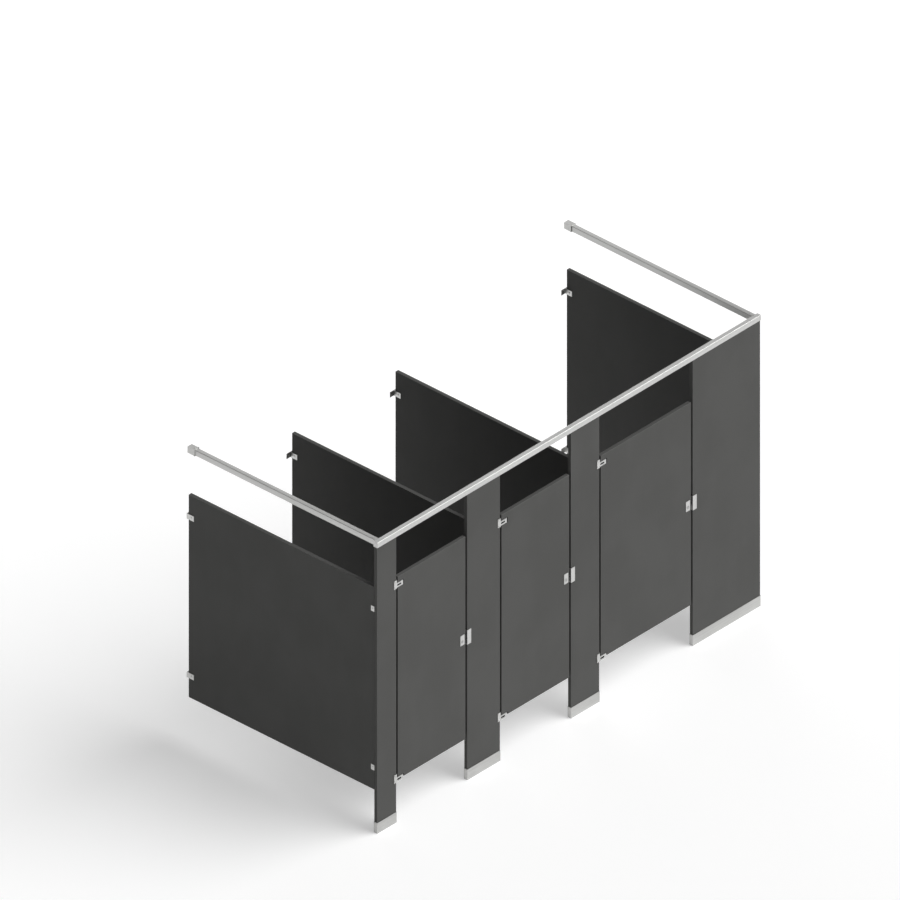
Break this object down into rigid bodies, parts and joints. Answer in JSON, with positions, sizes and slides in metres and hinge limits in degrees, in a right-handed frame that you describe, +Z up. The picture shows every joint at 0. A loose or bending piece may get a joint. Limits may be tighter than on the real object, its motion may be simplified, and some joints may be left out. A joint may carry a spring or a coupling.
{
  "type": "toilet partition",
  "caption": "Row of toilet cubicles in charcoal solid plastic board: hinged doors with turn latches, pilasters in steel shoes, dividing panels and an overhead rail braced to the wall.",
  "frame": {"origin": "on the floor, under the middle of the whole row's bounding box", "axes": "+X along the row to the right as seen from outside the doors, +Y from the doors to the wall, +Z up"},
  "size_m": [3.4636, 1.5836, 2.1204],
  "materials": {
    "board": "matte",
    "rail": "satin",
    "steel": "satin",
    "fastener": "satin",
    "nylon": "satin",
    "rubber": "matte"
  },
  "bodies": {
    "frame": {"pilaster_1": "board", "pilaster_2": "board", "pilaster_3": "board", "pilaster_4": "board", "end_panel_left": "board", "divider_panel_left": "board", "divider_panel_right": "board", "end_panel_right": "board", "headrail_front": "rail", "headrail_left": "rail", "headrail_right": "rail", "headrail_end_caps": "rail", "headrail_corner_angles": "rail", "headrail_wall_sockets": "rail", "shoe_1": "steel", "shoe_2": "steel", "shoe_3": "steel", "shoe_4": "steel", "wall_brackets": "steel", "pilaster_brackets": "steel", "hinge_brackets_top": "steel", "hinge_brackets_bottom": "steel", "keepers": "steel", "levelling_feet": "fastener", "levelling_nuts": "fastener", "headrail_screws": "fastener", "shoe_screws": "fastener", "panel_bolts": "fastener", "bracket_screws": "fastener", "hinge_bolts": "fastener", "hinge_pins": "fastener", "keeper_screws": "fastener", "hinge_washers": "nylon", "keeper_bumpers": "rubber"},
    "door_1_leaf": {"door_1": "board", "hinge_bushes_1": "nylon", "latch_plate_1": "steel", "latch_case_1": "steel", "coat_hook_1": "steel", "door_screws_1": "fastener"},
    "latch_1_turn_piece": {"latch_turn_1": "steel"},
    "latch_1_bolt_piece": {"latch_bolt_1": "steel"},
    "door_2_leaf": {"door_2": "board", "hinge_bushes_2": "nylon", "latch_plate_2": "steel", "latch_case_2": "steel", "coat_hook_2": "steel", "door_screws_2": "fastener"},
    "latch_2_turn_piece": {"latch_turn_2": "steel"},
    "latch_2_bolt_piece": {"latch_bolt_2": "steel"},
    "door_3_leaf": {"door_3": "board", "hinge_bushes_3": "nylon", "latch_plate_3": "steel", "latch_case_3": "steel", "coat_hook_3": "steel", "door_screws_3": "fastener"},
    "latch_3_turn_piece": {"latch_turn_3": "steel"},
    "latch_3_bolt_piece": {"latch_bolt_3": "steel"}
  },
  "joints": [
    {"name": "door_1_hinge", "type": "hinge", "parent": "frame", "child": "door_1_leaf", "pos_m": [-1.51925, -0.77355, 0.3048], "axis": [0, 0, 1], "range_deg": [0, 95]},
    {"name": "latch_1_turn", "type": "hinge", "parent": "door_1_leaf", "child": "latch_1_turn_piece", "pos_m": [-0.96165, -0.78625, 1.028], "axis": [0, 1, 0], "range_deg": [0, 90]},
    {"name": "latch_1_slide", "type": "slide", "parent": "door_1_leaf", "child": "latch_1_bolt_piece", "axis": [1, 0, 0], "range_m": [0, 0.028]},
    {"name": "door_2_hinge", "type": "hinge", "parent": "frame", "child": "door_2_leaf", "pos_m": [-0.58265, -0.77355, 0.3048], "axis": [0, 0, 1], "range_deg": [0, 95]},
    {"name": "latch_2_turn", "type": "hinge", "parent": "door_2_leaf", "child": "latch_2_turn_piece", "pos_m": [-0.02505, -0.78625, 1.028], "axis": [0, 1, 0], "range_deg": [0, 90]},
    {"name": "latch_2_slide", "type": "slide", "parent": "door_2_leaf", "child": "latch_2_bolt_piece", "axis": [1, 0, 0], "range_m": [0, 0.028]},
    {"name": "door_3_hinge", "type": "hinge", "parent": "frame", "child": "door_3_leaf", "pos_m": [0.31395, -0.77355, 0.3048], "axis": [0, 0, -1], "range_deg": [0, 95]},
    {"name": "latch_3_turn", "type": "hinge", "parent": "door_3_leaf", "child": "latch_3_turn_piece", "pos_m": [1.07475, -0.78625, 1.028], "axis": [0, 1, 0], "range_deg": [0, 90]},
    {"name": "latch_3_slide", "type": "slide", "parent": "door_3_leaf", "child": "latch_3_bolt_piece", "axis": [1, 0, 0], "range_m": [0, 0.028]}
  ],
  "couplings": [
    {"joint": "latch_1_slide", "follows": "latch_1_turn", "m_per_rad": 0.017825},
    {"joint": "latch_2_slide", "follows": "latch_2_turn", "m_per_rad": 0.017825},
    {"joint": "latch_3_slide", "follows": "latch_3_turn", "m_per_rad": 0.017825}
  ]
}
